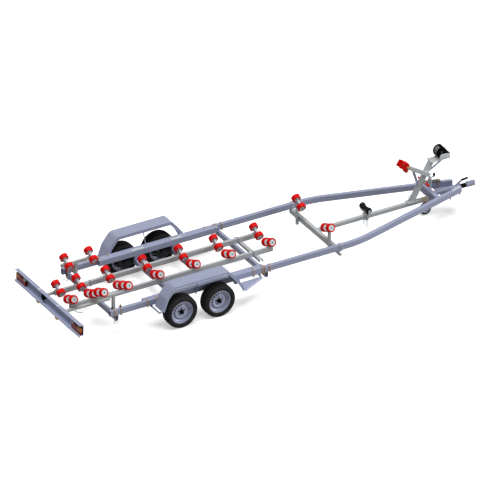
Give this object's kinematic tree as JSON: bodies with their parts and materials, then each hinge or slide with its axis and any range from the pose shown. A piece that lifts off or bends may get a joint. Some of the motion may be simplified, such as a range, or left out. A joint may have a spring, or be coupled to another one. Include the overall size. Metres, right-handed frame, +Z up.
{
  "type": "tandem-axle roller boat trailer",
  "caption": "Tandem-axle boat trailer with converging rails, tilted red roller pairs, a leaning winch post, a jockey wheel and a sliding light board.",
  "frame": {"origin": "on the ground, at the middle of the trailer's length and width", "axes": "+X forwards to the coupling, +Y to the left, +Z up"},
  "size_m": [7.594, 2.042, 1.246],
  "materials": {
    "zinc_frame": "hot-dip zinc on folded and welded steel, satin",
    "zinc_tube": "hot-dip zinc on steel tube, neutral grey",
    "red_roller": "cast polyurethane, semi-gloss",
    "black_rubber": "matt black rubber",
    "black_plastic": "black moulded cover",
    "tyre": "matt black tyre rubber",
    "wheel_steel": "silver paint",
    "lamp_red": "clear red lens over a dark housing"
  },
  "bodies": {
    "chassis": {"rail_left": "zinc_frame", "rail_right": "zinc_frame", "axle_beam_left": "zinc_frame", "axle_beam_right": "zinc_frame", "rear_crossmember": "zinc_frame", "front_crossmember": "zinc_frame", "carrier_channel": "zinc_tube", "front_roller_frame": "zinc_tube", "nose_crossmember": "zinc_frame", "centre_beam": "zinc_tube", "keel_beam_left": "zinc_tube", "keel_beam_right": "zinc_tube", "side_beam_left": "zinc_tube", "side_beam_right": "zinc_tube", "axle_rear": "zinc_frame", "axle_front": "zinc_frame", "mudguard_left": "zinc_frame", "mudguard_right": "zinc_frame", "coupling_housing": "zinc_frame", "bellows": "black_rubber", "coupling_head": "zinc_frame", "winch_post": "zinc_tube", "winch": "black_plastic", "bow_block": "red_roller", "jockey_tube": "zinc_tube"},
    "wheel_rear_left": {"tyre_rear_left": "tyre", "rim_rear_left": "wheel_steel"},
    "wheel_rear_right": {"tyre_rear_right": "tyre", "rim_rear_right": "wheel_steel"},
    "wheel_front_left": {"tyre_front_left": "tyre", "rim_front_left": "wheel_steel"},
    "wheel_front_right": {"tyre_front_right": "tyre", "rim_front_right": "wheel_steel"},
    "keel_rollers_left_1": {"keel_rollers_left_1": "red_roller"},
    "keel_rollers_left_2": {"keel_rollers_left_2": "red_roller"},
    "keel_rollers_left_3": {"keel_rollers_left_3": "red_roller"},
    "keel_rollers_left_4": {"keel_rollers_left_4": "red_roller"},
    "keel_rollers_left_5": {"keel_rollers_left_5": "red_roller"},
    "keel_rollers_left_6": {"keel_rollers_left_6": "red_roller"},
    "keel_rollers_left_7": {"keel_rollers_left_7": "red_roller"},
    "side_rollers_left_1": {"side_rollers_left_1": "red_roller"},
    "side_rollers_left_2": {"side_rollers_left_2": "red_roller"},
    "front_rollers_left": {"front_rollers_left": "red_roller"},
    "keel_rollers_right_1": {"keel_rollers_right_1": "red_roller"},
    "keel_rollers_right_2": {"keel_rollers_right_2": "red_roller"},
    "keel_rollers_right_3": {"keel_rollers_right_3": "red_roller"},
    "keel_rollers_right_4": {"keel_rollers_right_4": "red_roller"},
    "keel_rollers_right_5": {"keel_rollers_right_5": "red_roller"},
    "keel_rollers_right_6": {"keel_rollers_right_6": "red_roller"},
    "keel_rollers_right_7": {"keel_rollers_right_7": "red_roller"},
    "side_rollers_right_1": {"side_rollers_right_1": "red_roller"},
    "side_rollers_right_2": {"side_rollers_right_2": "red_roller"},
    "front_rollers_right": {"front_rollers_right": "red_roller"},
    "keel_roller": {"keel_roller": "black_rubber"},
    "jockey_leg": {"jockey_leg": "zinc_tube"},
    "jockey_fork": {"jockey_fork": "zinc_tube"},
    "jockey_wheel": {"jockey_wheel": "black_rubber"},
    "light_board": {"light_bar": "zinc_frame", "lamp_left": "lamp_red", "lamp_right": "lamp_red"}
  },
  "joints": [
    {"name": "wheel_rear_left_spin", "type": "hinge", "parent": "chassis", "child": "wheel_rear_left", "pos_m": [-1.986, 0.922, 0.27], "axis": [0, 1, 0], "continuous": true},
    {"name": "wheel_rear_right_spin", "type": "hinge", "parent": "chassis", "child": "wheel_rear_right", "pos_m": [-1.986, -0.922, 0.27], "axis": [0, 1, 0], "continuous": true},
    {"name": "wheel_front_left_spin", "type": "hinge", "parent": "chassis", "child": "wheel_front_left", "pos_m": [-1.322, 0.922, 0.27], "axis": [0, 1, 0], "continuous": true},
    {"name": "wheel_front_right_spin", "type": "hinge", "parent": "chassis", "child": "wheel_front_right", "pos_m": [-1.322, -0.922, 0.27], "axis": [0, 1, 0], "continuous": true},
    {"name": "keel_rollers_left_1_spin", "type": "hinge", "parent": "chassis", "child": "keel_rollers_left_1", "pos_m": [-3.494, 0.193, 0.534], "axis": [0, 0.9063, 0.4226], "continuous": true},
    {"name": "keel_rollers_left_2_spin", "type": "hinge", "parent": "chassis", "child": "keel_rollers_left_2", "pos_m": [-3.135, 0.193, 0.534], "axis": [0, 0.9063, 0.4226], "continuous": true},
    {"name": "keel_rollers_left_3_spin", "type": "hinge", "parent": "chassis", "child": "keel_rollers_left_3", "pos_m": [-2.623, 0.193, 0.534], "axis": [0, 0.9063, 0.4226], "continuous": true},
    {"name": "keel_rollers_left_4_spin", "type": "hinge", "parent": "chassis", "child": "keel_rollers_left_4", "pos_m": [-1.969, 0.193, 0.534], "axis": [0, 0.9063, 0.4226], "continuous": true},
    {"name": "keel_rollers_left_5_spin", "type": "hinge", "parent": "chassis", "child": "keel_rollers_left_5", "pos_m": [-1.329, 0.193, 0.534], "axis": [0, 0.9063, 0.4226], "continuous": true},
    {"name": "keel_rollers_left_6_spin", "type": "hinge", "parent": "chassis", "child": "keel_rollers_left_6", "pos_m": [-0.709, 0.193, 0.534], "axis": [0, 0.9063, 0.4226], "continuous": true},
    {"name": "keel_rollers_left_7_spin", "type": "hinge", "parent": "chassis", "child": "keel_rollers_left_7", "pos_m": [0.006, 0.193, 0.534], "axis": [0, 0.9063, 0.4226], "continuous": true},
    {"name": "side_rollers_left_1_spin", "type": "hinge", "parent": "chassis", "child": "side_rollers_left_1", "pos_m": [-3.154, 0.534, 0.732], "axis": [0, 0.9063, 0.4226], "continuous": true},
    {"name": "side_rollers_left_2_spin", "type": "hinge", "parent": "chassis", "child": "side_rollers_left_2", "pos_m": [-2.723, 0.534, 0.732], "axis": [0, 0.9063, 0.4226], "continuous": true},
    {"name": "front_rollers_left_spin", "type": "hinge", "parent": "chassis", "child": "front_rollers_left", "pos_m": [0.908, 0.446, 0.657], "axis": [0, 0.9063, 0.4226], "continuous": true},
    {"name": "keel_rollers_right_1_spin", "type": "hinge", "parent": "chassis", "child": "keel_rollers_right_1", "pos_m": [-3.494, -0.193, 0.534], "axis": [0, -0.9063, 0.4226], "continuous": true},
    {"name": "keel_rollers_right_2_spin", "type": "hinge", "parent": "chassis", "child": "keel_rollers_right_2", "pos_m": [-3.135, -0.193, 0.534], "axis": [0, -0.9063, 0.4226], "continuous": true},
    {"name": "keel_rollers_right_3_spin", "type": "hinge", "parent": "chassis", "child": "keel_rollers_right_3", "pos_m": [-2.623, -0.193, 0.534], "axis": [0, -0.9063, 0.4226], "continuous": true},
    {"name": "keel_rollers_right_4_spin", "type": "hinge", "parent": "chassis", "child": "keel_rollers_right_4", "pos_m": [-1.969, -0.193, 0.534], "axis": [0, -0.9063, 0.4226], "continuous": true},
    {"name": "keel_rollers_right_5_spin", "type": "hinge", "parent": "chassis", "child": "keel_rollers_right_5", "pos_m": [-1.329, -0.193, 0.534], "axis": [0, -0.9063, 0.4226], "continuous": true},
    {"name": "keel_rollers_right_6_spin", "type": "hinge", "parent": "chassis", "child": "keel_rollers_right_6", "pos_m": [-0.709, -0.193, 0.534], "axis": [0, -0.9063, 0.4226], "continuous": true},
    {"name": "keel_rollers_right_7_spin", "type": "hinge", "parent": "chassis", "child": "keel_rollers_right_7", "pos_m": [0.006, -0.193, 0.534], "axis": [0, -0.9063, 0.4226], "continuous": true},
    {"name": "side_rollers_right_1_spin", "type": "hinge", "parent": "chassis", "child": "side_rollers_right_1", "pos_m": [-3.154, -0.534, 0.732], "axis": [0, -0.9063, 0.4226], "continuous": true},
    {"name": "side_rollers_right_2_spin", "type": "hinge", "parent": "chassis", "child": "side_rollers_right_2", "pos_m": [-2.723, -0.534, 0.732], "axis": [0, -0.9063, 0.4226], "continuous": true},
    {"name": "front_rollers_right_spin", "type": "hinge", "parent": "chassis", "child": "front_rollers_right", "pos_m": [0.908, -0.446, 0.657], "axis": [0, -0.9063, 0.4226], "continuous": true},
    {"name": "keel_roller_spin", "type": "hinge", "parent": "chassis", "child": "keel_roller", "pos_m": [1.84, 0, 0.514], "axis": [0, 1, 0], "continuous": true},
    {"name": "jockey_slide", "type": "slide", "parent": "chassis", "child": "jockey_leg", "axis": [0, 0, 1], "range_m": [-0.05, 0.115]},
    {"name": "jockey_swivel", "type": "hinge", "parent": "jockey_leg", "child": "jockey_fork", "pos_m": [3.078, 0.154, 0.222], "axis": [0, 0, 1], "continuous": true},
    {"name": "jockey_wheel_spin", "type": "hinge", "parent": "jockey_fork", "child": "jockey_wheel", "pos_m": [2.998, 0.154, 0.1], "axis": [0, 1, 0], "continuous": true},
    {"name": "light_board_slide", "type": "slide", "parent": "chassis", "child": "light_board", "axis": [1, 0, 0], "range_m": [-0.1, 0.15]}
  ]
}
